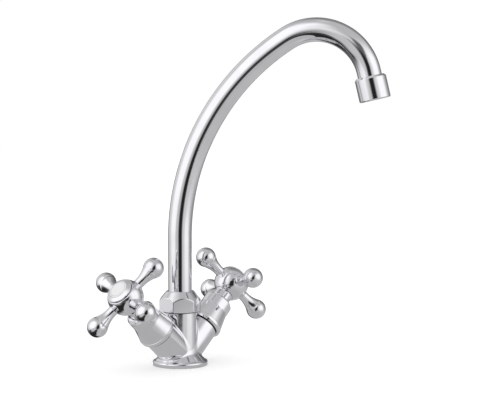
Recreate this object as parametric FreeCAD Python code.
import FreeCAD, Part
import math
import os

# Two handle kitchen mixer tap: a swivelling gooseneck spout on a single hole body with two
# inclined arms, each with a quarter turn ceramic valve and a cross handle.
# Millimetres. The origin is the centre of the flange's underside, +Z is up, the handles lie
# along X (hot at -X, cold at +X) and the user stands at -Y.

# ---------------------------------------------------------------- clearances
running_fit = 0.05          # radial play of a piece that turns in a bore
lapped_gap = 0.02           # between two faces that slide on each other
thread_gap = 0.1            # between the plain cylinders that stand for a screwed pair
free_gap = 0.35             # around a piece that turns without touching
seat_gap = 0.05             # around a static piece pushed into a recess

# ---------------------------------------------------------------- body casting
flange_radius = 23.2
flange_rim_height = 4.4
flange_edge_round = 1.3
flange_foot_round = 0.5
flange_shelf = 1.6          # flat ring on top of the rim, outside the skirt
skirt_height = 11.8         # where the skirt runs into the column
column_radius = 14.4
column_height = 46.0
crease_round = 1.2          # cast fillet where the arms leave the column and the skirt, where it has room
spout_thread_radius = 13.2
spout_thread_length = 10.0
thread_lead_chamfer = 0.6
socket_depth = 19.0         # bore that the spout's ferrule turns in
chamber_radius = 8.0        # mixing chamber under the socket
chamber_floor = 24.0

# ---------------------------------------------------------------- underside
inlet_radius = 4.5          # M10x1 tapping, minor radius
inlet_depth = 9.0
inlet_offset_x = 6.8
inlet_offset_y = 3.5
stud_hole_radius = 3.4      # M8 tapping, minor radius
stud_hole_depth = 9.0
stud_hole_offset_y = 9.2
base_seal_margin = 2.8      # from the flange's edge to the seal's groove
base_seal_width = 3.0
base_seal_thickness = 1.6

# ---------------------------------------------------------------- arms
arm_axis_height = 7.54      # where both arm axes cross the column's axis
arm_tilt = 41.2             # degrees above the horizontal
arm_radius = 14.2
arm_shoulder = 35.5         # distances along an arm start at the column's axis
arm_mouth = 42.0
arm_spigot_radius = 12.0
supply_radius = 3.4
supply_start = 7.0
crossing_radius = 3.0       # bore from both valve chambers into the mixing chamber
crossing_height = 31.0
crossing_reach = 16.0
valve_seat = 24.0
valve_chamber_radius = 9.2
valve_thread_start = 34.0
valve_thread_radius = 10.4  # G1/2

# ---------------------------------------------------------------- headwork
cage_radius = 8.6
cage_bore_radius = 7.1
cage_window_width = 7.0
cage_window_start = 29.4
cage_window_height = 3.8
seal_squeeze = 0.8          # how far the seat seal stands out of the cage
seat_seal_thickness = 2.6
seat_seal_bore = 4.2
disc_thickness = 2.4
disc_port_inner_radius = 1.6
disc_port_outer_radius = 5.4
disc_port_angle = 84.0
quarter_turn = 90.0         # from closed to fully open, degrees
gasket_thickness = 1.0
headwork_flange_radius = 11.6
headwork_flange_thickness = 1.5
hex_across_flats = 19.0
hex_height = 6.0
barrel_radius = 8.2
barrel_top = 58.0
guide_radius = 6.2
guide_top = 61.6
thrust_washer_thickness = 0.6
thrust_washer_width = 1.8

# ---------------------------------------------------------------- spindle
spindle_radius = 4.6
drive_head_height = 4.4
drive_tang_width = 2.4
drive_tang_height = 0.9
spindle_seal_section = 0.7
spindle_seal_places = (45.0, 51.0)
circlip_thickness = 0.8
circlip_width = 2.0
circlip_groove_depth = 0.7
circlip_mouth = 4.0
square_across_flats = 6.0
square_corner_radius = 3.9
square_end = 75.4

# ---------------------------------------------------------------- bonnet
bonnet_foot_radius = 15.2
bonnet_rim_radius = 16.4
bonnet_rim_start = 37.0
bonnet_rim_end = 39.4
bonnet_rim_step = 0.3
bonnet_waist_radius = 12.75
bonnet_waist = 54.0
bonnet_shoulder = 62.6
bonnet_top = 64.4
bonnet_top_radius = 11.1
bonnet_bore_radius = 11.3
bonnet_roof = 2.2

# ---------------------------------------------------------------- handle
spoke_plane = 85.2
hub_radius = 15.0
hub_front = 8.6             # face of the hub, in front of the spoke plane
hub_front_round = 0.5
neck_radius = 7.8
neck_overlap = 1.0          # how far the neck dips into the bonnet's mouth
ball_radius = 8.6
ball_centre = 33.4
spoke_waist_radius = 4.3
spoke_waist = 17.0
hot_rest_angle = 69.1       # turn of the spokes about the arm at rest, degrees
cold_rest_angle = 71.6
spoke_count = 4
socket_clearance = 0.1
web_thickness = 3.0         # between the spindle's socket and the screw's head
head_recess_radius = 8.6

# ---------------------------------------------------------------- handle screw
screw_radius = 2.4          # M5
screw_hole_radius = 2.7
screw_length = 12.0         # thread in the spindle
screw_head_radius = 4.2
screw_head_height = 2.8
screw_drive_across_flats = 3.0
screw_drive_depth = 1.8

# ---------------------------------------------------------------- index cap
bezel_skirt_length = 5.0
bezel_skirt_wall = 1.0
bezel_groove_radius = 10.4
bezel_groove_height = 0.5
bezel_radius = 11.4
bezel_side_height = 0.8
bezel_face_radius = 8.3
bezel_bevel_height = 1.5
index_radius = 7.85
index_recess = 0.6
index_thickness = 0.9
index_edge_round = 0.2

# ---------------------------------------------------------------- spout nut
nut_across_flats = 31.4
nut_height = 17.3
nut_top_radius = 11.6
nut_cone_height = 8.0       # drop of the cone from the top face to the corners
nut_foot_radius = 15.9
nut_foot_height = 1.2
nut_turn = 24.9             # one corner's direction from +X, degrees

# ---------------------------------------------------------------- spout
tube_radius = 10.0
tube_wall = 1.0
spout_rest_angle = 30.0     # spout's direction from -Y towards +X at rest, degrees
rise_top = 108.6            # end of the upright stretch
rise_bend_radius = 198.1
rise_bend_angle = 57.7
crown_bend_radius = 45.1
crown_bend_angle = 109.0
ferrule_radius = 10.9
ferrule_bore = 7.0
ferrule_length = 18.6       # below the collar
ferrule_spigot_length = 9.0
collar_radius = 12.5
collar_thickness = 2.0
slip_ring_thickness = 1.0
split_ring_thickness = 1.2
split_ring_mouth = 3.0
spout_seal_section = 1.2
spout_seal_places = (4.6, 12.4)

# ---------------------------------------------------------------- spout tip
tail_length = 12.0          # straight end of the tube, below the crown bend
shell_start = 3.9           # distances at the tip start at the crown bend's end
shell_chamfer = 1.6
shell_wall = 1.95
shell_mouth_step = 1.55     # the mouth's edge is narrower than the shell by this
shell_end = 23.6
shell_foot_chamfer = 0.7
shell_lip_width = 0.8
shell_lip_thickness = 1.6
tip_ferrule_wall = 1.0      # gives the M22 thread on a 20 mm tube
tip_ferrule_start = 4.4
tip_washer_width = 3.5
tip_washer_thickness = 2.0
insert_shoulder = 0.6       # the insert is narrower than the ferrule by this
insert_wall = 2.0
insert_flange_gap = 0.1
insert_flange_thickness = 1.0
insert_post_radius = 2.2
insert_rib_count = 6
insert_rib_thickness = 0.8
screen_thickness = 0.6
screen_hole_radius = 0.75
screen_hole_pitch = 2.2
screen_rings = 3            # rings of holes about the middle one
screen_first_ring = 6       # holes in the first ring, and more by as many in each next one

ORIGIN = FreeCAD.Vector(0, 0, 0)
UP = FreeCAD.Vector(0, 0, 1)
SIDEWAYS = FreeCAD.Vector(1, 0, 0)
DEPTHWAYS = FreeCAD.Vector(0, 1, 0)
same_place = 1e-6           # two lengths closer than this are the same


# ================================================================ helpers
def turned(profile):
    """Solid of revolution about +Z from (radius, height) points."""
    points = [FreeCAD.Vector(radius, 0, height) for radius, height in profile]
    outline = Part.makePolygon(points + points[:1])
    return Part.Face(outline).revolve(ORIGIN, UP, 360)


def rod(radius, low, high):
    """Cylinder about +Z between two heights."""
    return Part.makeCylinder(radius, high - low, FreeCAD.Vector(0, 0, low))


def ring(inner, outer, low, high):
    """Flat ring about +Z between two heights."""
    return rod(outer, low, high).cut(rod(inner, low, high))


def seal_ring(middle_radius, section_radius, height):
    """O-ring about +Z."""
    return Part.makeTorus(middle_radius, section_radius, FreeCAD.Vector(0, 0, height))


def hexagon(across_flats, low, high, turn=0):
    """Hexagonal prism about +Z with one corner at the angle turn."""
    corner_radius = across_flats / math.sqrt(3)
    corners = []
    for index in range(6):
        angle = math.radians(turn + 60 * index)
        corner = FreeCAD.Vector(corner_radius * math.cos(angle), corner_radius * math.sin(angle), low)
        corners.append(corner)
    face = Part.Face(Part.makePolygon(corners + corners[:1]))
    return face.extrude(FreeCAD.Vector(0, 0, high - low))


def block(size_x, size_y, low, high):
    """Box centred on the Z axis between two heights."""
    return Part.makeBox(size_x, size_y, high - low, FreeCAD.Vector(-size_x / 2, -size_y / 2, low))


def circle_edges(solid, radius, height):
    """Edges of a solid that are circles about +Z with this radius at this height."""
    found = []
    for edge in solid.Edges:
        if edge.Degenerated or edge.Curve.TypeId != "Part::GeomCircle":
            continue
        circle = edge.Curve
        if abs(circle.Radius - radius) < same_place and abs(circle.Center.z - height) < same_place:
            found.append(edge)
    return found


def rounded(solid, fillet, radius, height):
    """The solid with one circular edge rounded."""
    return solid.makeFillet(fillet, circle_edges(solid, radius, height))


def arc_edge(centre, start, end):
    """Shorter arc about a centre between two points."""
    middle = (start - centre) + (end - centre)
    middle.normalize()
    middle.multiply((start - centre).Length)
    return Part.Arc(start, centre + middle, end).toShape()


def arm_placement(side):
    """Frame of an arm: its +Z points outwards along the arm, side is -1 for hot and 1 for cold."""
    turn = FreeCAD.Rotation(DEPTHWAYS, side * (90 - arm_tilt))
    return FreeCAD.Placement(FreeCAD.Vector(0, 0, arm_axis_height), turn)


def placed(shape, placement):
    """A copy of the shape moved from a local frame into the part's frame."""
    moved = shape.copy()
    moved.Placement = placement.multiply(moved.Placement)
    return moved


# ================================================================ radii and heights that several pieces share
base_seal_outer_radius = flange_radius - base_seal_margin
base_seal_inner_radius = base_seal_outer_radius - base_seal_width
socket_radius = ferrule_radius + running_fit
body_top = column_height + spout_thread_length
collar_seat = body_top + slip_ring_thickness + lapped_gap
collar_top = collar_seat + collar_thickness
split_ring_top = collar_top + lapped_gap + split_ring_thickness
nut_ceiling = split_ring_top + lapped_gap
nut_top = column_height + nut_height
nut_bore_radius = spout_thread_radius + thread_gap
nut_mouth_radius = tube_radius + free_gap

cage_foot = valve_seat + seal_squeeze
fixed_disc_foot = valve_seat + seat_seal_thickness
fixed_disc_top = fixed_disc_foot + disc_thickness
moving_disc_foot = fixed_disc_top + lapped_gap
moving_disc_top = moving_disc_foot + disc_thickness
drive_head_top = moving_disc_top + drive_head_height
thrust_washer_foot = drive_head_top + lapped_gap
cage_ceiling = thrust_washer_foot + thrust_washer_thickness
headwork_flange_foot = arm_mouth + gasket_thickness
headwork_flange_top = headwork_flange_foot + headwork_flange_thickness
hex_top = headwork_flange_top + hex_height
circlip_foot = guide_top + lapped_gap
circlip_top = circlip_foot + circlip_thickness
circlip_inner_radius = spindle_radius - circlip_groove_depth
moving_radius = cage_bore_radius - free_gap

neck_foot = bonnet_top - neck_overlap
socket_top = square_end + socket_clearance
recess_floor = socket_top + web_thickness
hub_face = spoke_plane + hub_front
screw_foot = square_end - screw_length


# ================================================================ fixed pieces on the column
def crease_fillet():
    """The cast fillet's radius, no more than the arm's end and the skirt's foot leave room for."""
    tilt = math.radians(arm_tilt)
    crease_top = (column_radius + arm_radius * math.sin(tilt)) / math.cos(tilt)
    arm_room = (arm_shoulder - crease_top) * math.tan((math.pi / 2 - tilt) / 2)
    skirt_slope = (skirt_height - flange_rim_height) / (flange_radius - flange_shelf - column_radius)
    rim_crossing = (flange_rim_height - arm_axis_height) / math.tan(tilt) + arm_radius / math.sin(tilt)
    skirt_room = (flange_radius - flange_shelf - rim_crossing) / (1 / skirt_slope + 1 / math.tan(tilt))
    return min(crease_round, arm_room, skirt_room)


def body_casting():
    skirt = turned([
        (0, 0),
        (flange_radius, 0),
        (flange_radius, flange_rim_height),
        (flange_radius - flange_shelf, flange_rim_height),
        (column_radius, skirt_height),
        (column_radius, body_top),
        (0, body_top),
    ])
    skirt = rounded(skirt, flange_edge_round, flange_radius, flange_rim_height)
    skirt = rounded(skirt, flange_foot_round, flange_radius, 0)
    outer = skirt
    for side in (-1, 1):
        outer = outer.fuse(placed(rod(arm_radius, 0, arm_shoulder), arm_placement(side)))
    below = block(4 * flange_radius, 4 * flange_radius, -flange_radius, 0)
    outer = outer.cut(below).removeSplitter()
    creases = [edge for edge in outer.Edges if edge.Curve.TypeId == "Part::GeomBSplineCurve"]
    outer = outer.makeFillet(crease_fillet(), creases)
    outer = outer.cut(rod(2 * column_radius, column_height, body_top))

    thread = turned([
        (0, column_height),
        (spout_thread_radius, column_height),
        (spout_thread_radius, body_top - thread_lead_chamfer),
        (spout_thread_radius - thread_lead_chamfer, body_top),
        (0, body_top),
    ])
    outer = outer.fuse(thread)
    for side in (-1, 1):
        outer = outer.fuse(placed(rod(arm_spigot_radius, arm_shoulder, arm_mouth), arm_placement(side)))

    crossing_start = FreeCAD.Vector(-crossing_reach, 0, crossing_height)
    stud_foot = FreeCAD.Vector(0, -stud_hole_offset_y, 0)
    hollows = [
        rod(socket_radius, body_top - socket_depth, body_top),
        rod(chamber_radius, chamber_floor, body_top),
        Part.makeCylinder(crossing_radius, 2 * crossing_reach, crossing_start, SIDEWAYS),
        Part.makeCylinder(stud_hole_radius, stud_hole_depth, stud_foot),
        ring(base_seal_inner_radius, base_seal_outer_radius, 0, base_seal_thickness),
    ]
    thread_bore = valve_thread_radius + thread_gap
    for side in (-1, 1):
        frame = arm_placement(side)
        hollows.append(placed(rod(supply_radius, supply_start, valve_seat), frame))
        hollows.append(placed(rod(valve_chamber_radius, valve_seat, valve_thread_start), frame))
        hollows.append(placed(rod(thread_bore, valve_thread_start, arm_mouth), frame))
        inlet = FreeCAD.Vector(side * inlet_offset_x, inlet_offset_y, 0)
        hollows.append(Part.makeCylinder(inlet_radius, inlet_depth, inlet))
        supply_height = arm_axis_height + inlet_offset_x * math.tan(math.radians(arm_tilt))
        hollows.append(Part.makeCylinder(supply_radius, supply_height, inlet))
    return outer.cut(hollows[0].multiFuse(hollows[1:])).removeSplitter()


def base_seal():
    inner = base_seal_inner_radius + seat_gap
    return ring(inner, base_seal_outer_radius - seat_gap, 0, base_seal_thickness)


def spout_nut():
    corner_radius = nut_across_flats / math.sqrt(3)
    envelope = turned([
        (0, column_height),
        (nut_foot_radius, column_height),
        (corner_radius, column_height + nut_foot_height),
        (corner_radius, nut_top - nut_cone_height),
        (nut_top_radius, nut_top),
        (0, nut_top),
    ])
    nut = hexagon(nut_across_flats, column_height, nut_top, nut_turn).common(envelope)
    bore = rod(nut_bore_radius, column_height, nut_ceiling)
    return nut.cut(bore.fuse(rod(nut_mouth_radius, column_height, nut_top)))


def spout_slip_ring():
    rim = spout_thread_radius - thread_lead_chamfer
    return ring(socket_radius, rim, body_top, body_top + slip_ring_thickness)


def spout_split_ring():
    foot = collar_top + lapped_gap
    whole = ring(nut_mouth_radius, collar_radius, foot, split_ring_top)
    corner = FreeCAD.Vector(0, -split_ring_mouth / 2, foot)
    return whole.cut(Part.makeBox(2 * collar_radius, split_ring_mouth, split_ring_thickness, corner))


# ================================================================ valve pieces, in an arm's frame
def headwork():
    body = turned([
        (0, cage_foot),
        (cage_radius, cage_foot),
        (cage_radius, valve_thread_start),
        (valve_thread_radius, valve_thread_start),
        (valve_thread_radius, headwork_flange_foot),
        (headwork_flange_radius, headwork_flange_foot),
        (headwork_flange_radius, headwork_flange_top),
        (barrel_radius, headwork_flange_top),
        (barrel_radius, barrel_top),
        (guide_radius, barrel_top),
        (guide_radius, guide_top),
        (0, guide_top),
    ])
    body = body.fuse(hexagon(hex_across_flats, headwork_flange_top, hex_top))
    body = body.cut(rod(cage_bore_radius, cage_foot, cage_ceiling))
    body = body.cut(rod(spindle_radius + running_fit, cage_foot, guide_top))
    window_top = cage_window_start + cage_window_height
    window = block(2 * valve_thread_radius, cage_window_width, cage_window_start, window_top)
    return body.cut(window).removeSplitter()


def headwork_gasket():
    return ring(valve_thread_radius + seat_gap, headwork_flange_radius, arm_mouth, headwork_flange_foot)


def seat_seal():
    return ring(seat_seal_bore, cage_bore_radius - seat_gap, valve_seat, fixed_disc_foot)


def ported_disc(radius, foot):
    """Ceramic disc with two opposite ports shaped like pieces of a ring."""
    disc = rod(radius, foot, foot + disc_thickness)
    floor = FreeCAD.Vector(0, 0, foot)
    port = Part.makeCylinder(disc_port_outer_radius, disc_thickness, floor, UP, disc_port_angle)
    port = port.cut(rod(disc_port_inner_radius, foot, foot + disc_thickness))
    for turn in (0, 180):
        opening = port.copy()
        opening.rotate(ORIGIN, UP, turn - disc_port_angle / 2)
        disc = disc.cut(opening)
    return disc


def fixed_disc():
    return ported_disc(cage_bore_radius - seat_gap, fixed_disc_foot)


def moving_disc():
    disc = ported_disc(moving_radius, moving_disc_foot)
    disc.rotate(ORIGIN, UP, quarter_turn)
    slot_foot = moving_disc_top - drive_tang_height - seat_gap
    return disc.cut(block(drive_tang_width + 2 * seat_gap, 2 * moving_radius, slot_foot, moving_disc_top))


def thrust_washer():
    inner = spindle_radius + free_gap
    return ring(inner, inner + thrust_washer_width, thrust_washer_foot, cage_ceiling)


def bonnet():
    shell = turned([
        (0, arm_shoulder),
        (bonnet_foot_radius, arm_shoulder),
        (bonnet_rim_radius, bonnet_rim_start),
        (bonnet_rim_radius, bonnet_rim_end),
        (bonnet_rim_radius - bonnet_rim_step, bonnet_rim_end + bonnet_rim_step),
        (bonnet_waist_radius, bonnet_waist),
        (bonnet_waist_radius, bonnet_shoulder),
        (bonnet_top_radius, bonnet_top),
        (0, bonnet_top),
    ])
    spigot_bore = arm_spigot_radius + thread_gap
    shell = shell.cut(rod(spigot_bore, arm_shoulder, headwork_flange_top))
    shell = shell.cut(rod(bonnet_bore_radius, arm_shoulder, bonnet_top - bonnet_roof))
    return shell.cut(rod(neck_radius + free_gap, arm_shoulder, bonnet_top))


# ================================================================ turning pieces, in an arm's frame
def spindle():
    profile = [
        (0, moving_disc_top),
        (moving_radius, moving_disc_top),
        (moving_radius, drive_head_top),
        (spindle_radius, drive_head_top),
        (spindle_radius, circlip_foot),
        (circlip_inner_radius, circlip_foot),
        (circlip_inner_radius, circlip_top),
        (square_corner_radius, circlip_top),
        (square_corner_radius, square_end),
        (0, square_end),
    ]
    stem = turned(profile)
    tang_foot = moving_disc_top - drive_tang_height
    tang = block(drive_tang_width, 2 * moving_radius, tang_foot, moving_disc_top)
    stem = stem.fuse(tang.common(rod(moving_radius, tang_foot, moving_disc_top)))
    square = block(square_across_flats, square_across_flats, circlip_top, square_end)
    stem = stem.cut(rod(2 * spindle_radius, circlip_top, square_end).cut(square))
    groove_floor = spindle_radius - 2 * spindle_seal_section
    for place in spindle_seal_places:
        groove_foot = place - spindle_seal_section
        groove_top = place + spindle_seal_section
        stem = stem.cut(ring(groove_floor, 2 * spindle_radius, groove_foot, groove_top))
    screw_bore = rod(screw_radius + thread_gap, screw_foot, square_end)
    return stem.cut(screw_bore).removeSplitter()


def spindle_seals():
    middle = spindle_radius - spindle_seal_section
    seals = [seal_ring(middle, spindle_seal_section, place) for place in spindle_seal_places]
    return Part.makeCompound(seals)


def circlip():
    whole = ring(circlip_inner_radius, circlip_inner_radius + circlip_width, circlip_foot, circlip_top)
    corner = FreeCAD.Vector(0, -circlip_mouth / 2, circlip_foot)
    return whole.cut(Part.makeBox(2 * guide_radius, circlip_mouth, circlip_thickness, corner))


def ball_spoke():
    """One spoke along +X: a slim waist that swells into a ball."""
    drop = ball_radius - spoke_waist_radius
    span = ball_centre - spoke_waist
    flare_radius = (span ** 2 / drop - ball_radius - spoke_waist_radius) / 2
    flare_centre = FreeCAD.Vector(spoke_waist, 0, spoke_waist_radius + flare_radius)
    centre = FreeCAD.Vector(ball_centre, 0, 0)
    towards_flare = flare_centre - centre
    towards_flare.normalize()
    root = FreeCAD.Vector(0, 0, spoke_waist_radius)
    waist = FreeCAD.Vector(spoke_waist, 0, spoke_waist_radius)
    join = centre + towards_flare * ball_radius
    tip = FreeCAD.Vector(ball_centre + ball_radius, 0, 0)
    outline = Part.Wire([
        Part.LineSegment(ORIGIN, root).toShape(),
        Part.LineSegment(root, waist).toShape(),
        arc_edge(flare_centre, waist, join),
        arc_edge(centre, join, tip),
        Part.LineSegment(tip, ORIGIN).toShape(),
    ])
    return Part.Face(outline).revolve(ORIGIN, SIDEWAYS, 360)


def handle(rest_angle):
    hub = Part.makeSphere(hub_radius, FreeCAD.Vector(0, 0, spoke_plane))
    hub = hub.cut(rod(2 * hub_radius, hub_face, hub_face + hub_radius))
    face_radius = math.sqrt(hub_radius ** 2 - hub_front ** 2)
    hub = rounded(hub, hub_front_round, face_radius, hub_face)
    cross = hub.fuse(rod(neck_radius, neck_foot, spoke_plane))
    for index in range(spoke_count):
        spoke = ball_spoke()
        spoke.translate(FreeCAD.Vector(0, 0, spoke_plane))
        spoke.rotate(ORIGIN, UP, rest_angle + index * 360 / spoke_count)
        cross = cross.fuse(spoke)
    socket_width = square_across_flats + 2 * socket_clearance
    socket = block(socket_width, socket_width, neck_foot, socket_top)
    socket = socket.common(rod(square_corner_radius + socket_clearance, neck_foot, socket_top))
    cross = cross.cut(socket)
    cross = cross.cut(rod(screw_hole_radius, neck_foot, hub_face))
    return cross.cut(rod(head_recess_radius, recess_floor, hub_face)).removeSplitter()


def handle_screw():
    screw = rod(screw_radius, screw_foot, recess_floor)
    screw = screw.fuse(rod(screw_head_radius, recess_floor, recess_floor + screw_head_height))
    head_top = recess_floor + screw_head_height
    return screw.cut(hexagon(screw_drive_across_flats, head_top - screw_drive_depth, head_top))


def index_bezel():
    skirt_outer = head_recess_radius - seat_gap
    skirt_inner = skirt_outer - bezel_skirt_wall
    groove_top = hub_face + bezel_groove_height
    side_top = groove_top + bezel_side_height
    face = side_top + bezel_bevel_height
    cap = turned([
        (0, hub_face - bezel_skirt_length),
        (skirt_outer, hub_face - bezel_skirt_length),
        (skirt_outer, hub_face),
        (bezel_groove_radius, hub_face),
        (bezel_groove_radius, groove_top),
        (bezel_radius, groove_top),
        (bezel_radius, side_top),
        (bezel_face_radius, face),
        (0, face),
    ])
    cap = cap.cut(rod(skirt_inner, hub_face - bezel_skirt_length, hub_face))
    return cap.cut(rod(index_radius + seat_gap, face - index_recess, face))


def index_disc():
    floor = hub_face + bezel_groove_height + bezel_side_height + bezel_bevel_height - index_recess
    disc = rod(index_radius, floor, floor + index_thickness)
    return rounded(disc, index_edge_round, index_radius, floor + index_thickness)


# ================================================================ spout
spout_turn = math.radians(spout_rest_angle)
spout_direction = FreeCAD.Vector(math.sin(spout_turn), -math.cos(spout_turn), 0)
bend_axis = spout_direction.cross(UP) * -1


def spout_tube():
    """Upright stretch, two bends and a short straight tail, built one after the other."""
    foot = FreeCAD.Vector(0, 0, collar_top)
    outside = Part.Face(Part.Wire(Part.makeCircle(tube_radius, foot, UP)))
    inside = Part.Face(Part.Wire(Part.makeCircle(tube_radius - tube_wall, foot, UP)))
    face = outside.cut(inside).Faces[0]
    rise = FreeCAD.Vector(0, 0, rise_top - collar_top)
    tube = face.extrude(rise)
    face = face.translated(rise)
    heading = UP
    end = FreeCAD.Vector(0, 0, rise_top)
    inwards = spout_direction
    for radius, angle in ((rise_bend_radius, rise_bend_angle), (crown_bend_radius, crown_bend_angle)):
        centre = end + inwards * radius
        turn = FreeCAD.Rotation(bend_axis, angle)
        tube = tube.fuse(face.revolve(centre, bend_axis, angle))
        face = face.rotated(centre, bend_axis, angle)
        end = centre + turn.multVec(end - centre)
        heading = turn.multVec(heading)
        inwards = turn.multVec(inwards)
    return tube.fuse(face.extrude(heading * tail_length)), end, heading


tube_solid, tip_origin, tip_heading = spout_tube()
tip_placement = FreeCAD.Placement(tip_origin, FreeCAD.Rotation(UP, tip_heading))


def spout_ferrule():
    foot = collar_seat - ferrule_length
    spigot_radius = tube_radius - tube_wall - seat_gap
    body = turned([
        (ferrule_bore, foot),
        (ferrule_radius, foot),
        (ferrule_radius, collar_seat),
        (collar_radius, collar_seat),
        (collar_radius, collar_top),
        (spigot_radius, collar_top),
        (spigot_radius, collar_top + ferrule_spigot_length),
        (ferrule_bore, collar_top + ferrule_spigot_length),
    ])
    groove_floor = ferrule_radius - 2 * spout_seal_section
    for place in spout_seal_places:
        groove_foot = foot + place - spout_seal_section
        groove_top = foot + place + spout_seal_section
        body = body.cut(ring(groove_floor, 2 * ferrule_radius, groove_foot, groove_top))
    return body


def spout_seals():
    foot = collar_seat - ferrule_length
    middle = ferrule_radius - spout_seal_section
    seals = [seal_ring(middle, spout_seal_section, foot + place) for place in spout_seal_places]
    return Part.makeCompound(seals)


# ================================================================ spout tip, in the tip's frame
tip_ferrule_radius = tube_radius + tip_ferrule_wall
shell_bore_radius = tip_ferrule_radius + thread_gap
shell_radius = shell_bore_radius + shell_wall
insert_radius = tip_ferrule_radius - insert_shoulder
tip_washer_top = tail_length + tip_washer_thickness
insert_foot = shell_end - shell_lip_thickness
screen_foot = insert_foot - screen_thickness


def tip_ferrule():
    return ring(tube_radius, tip_ferrule_radius, tip_ferrule_start, tail_length)


def aerator_shell():
    shell = turned([
        (0, shell_start),
        (shell_radius - shell_mouth_step, shell_start),
        (shell_radius, shell_start + shell_chamfer),
        (shell_radius, shell_end - shell_foot_chamfer),
        (shell_radius - shell_foot_chamfer, shell_end),
        (0, shell_end),
    ])
    thread_end = tip_washer_top + insert_flange_thickness
    shell = shell.cut(rod(shell_bore_radius, shell_start, thread_end))
    shell = shell.cut(rod(insert_radius + seat_gap, thread_end, insert_foot))
    return shell.cut(rod(insert_radius - shell_lip_width, insert_foot, shell_end))


def aerator_washer():
    return ring(tip_ferrule_radius - tip_washer_width, tip_ferrule_radius, tail_length, tip_washer_top)


def aerator_insert():
    """Flow former: a sleeve with a flange, ribs and a middle post."""
    bore = insert_radius - insert_wall
    rim_radius = tip_ferrule_radius - insert_flange_gap
    flange_end = tip_washer_top + insert_flange_thickness
    insert = ring(bore, insert_radius, tip_washer_top, screen_foot)
    insert = insert.fuse(ring(bore, rim_radius, tip_washer_top, flange_end))
    insert = insert.fuse(rod(insert_post_radius, tip_washer_top, screen_foot))
    rib_corner = FreeCAD.Vector(0, -insert_rib_thickness / 2, tip_washer_top)
    rib = Part.makeBox(insert_radius, insert_rib_thickness, screen_foot - tip_washer_top, rib_corner)
    rib = rib.common(rod(insert_radius, tip_washer_top, screen_foot))
    for index in range(insert_rib_count):
        turned_rib = rib.copy()
        turned_rib.rotate(ORIGIN, UP, index * 360 / insert_rib_count)
        insert = insert.fuse(turned_rib)
    return insert.removeSplitter()


def aerator_screen():
    """Round outlet plate with rings of holes about a middle one."""
    plate = rod(insert_radius, screen_foot, insert_foot)
    holes = [rod(screen_hole_radius, screen_foot, insert_foot)]
    for ring_index in range(1, screen_rings + 1):
        reach = ring_index * screen_hole_pitch
        hole_count = screen_first_ring * ring_index
        for hole_index in range(hole_count):
            angle = math.radians(hole_index * 360 / hole_count)
            hole = holes[0].copy()
            hole.translate(FreeCAD.Vector(reach * math.cos(angle), reach * math.sin(angle), 0))
            holes.append(hole)
    return plate.cut(Part.makeCompound(holes))


# ================================================================ all pieces by node name
pieces = {
    "body_casting": body_casting(),
    "base_seal": base_seal(),
    "spout_nut": spout_nut(),
    "spout_slip_ring": spout_slip_ring(),
    "spout_split_ring": spout_split_ring(),
    "spout_tube": tube_solid,
    "spout_ferrule": spout_ferrule(),
    "spout_seals": spout_seals(),
}
for node, shape in (
    ("tip_ferrule", tip_ferrule()),
    ("aerator_shell", aerator_shell()),
    ("aerator_washer", aerator_washer()),
    ("aerator_insert", aerator_insert()),
    ("aerator_screen", aerator_screen()),
):
    pieces[node] = placed(shape, tip_placement)

for name, side, rest_angle in (("hot", -1, hot_rest_angle), ("cold", 1, cold_rest_angle)):
    frame = arm_placement(side)
    for node, shape in (
        ("headwork", headwork()),
        ("headwork_gasket", headwork_gasket()),
        ("seat_seal", seat_seal()),
        ("fixed_disc", fixed_disc()),
        ("thrust_washer", thrust_washer()),
        ("bonnet", bonnet()),
        ("spindle", spindle()),
        ("moving_disc", moving_disc()),
        ("spindle_seals", spindle_seals()),
        ("circlip", circlip()),
        ("handle", handle(rest_angle)),
        ("handle_screw", handle_screw()),
        ("index_bezel", index_bezel()),
        ("index_disc", index_disc()),
    ):
        pieces[name + "_" + node] = placed(shape, frame)

os.makedirs("parts", exist_ok=True)
for node, shape in pieces.items():
    shape.exportStep("parts/" + node + ".step")
    print(node, "valid", shape.isValid(), "solids", len(shape.Solids), "volume", round(shape.Volume, 1))
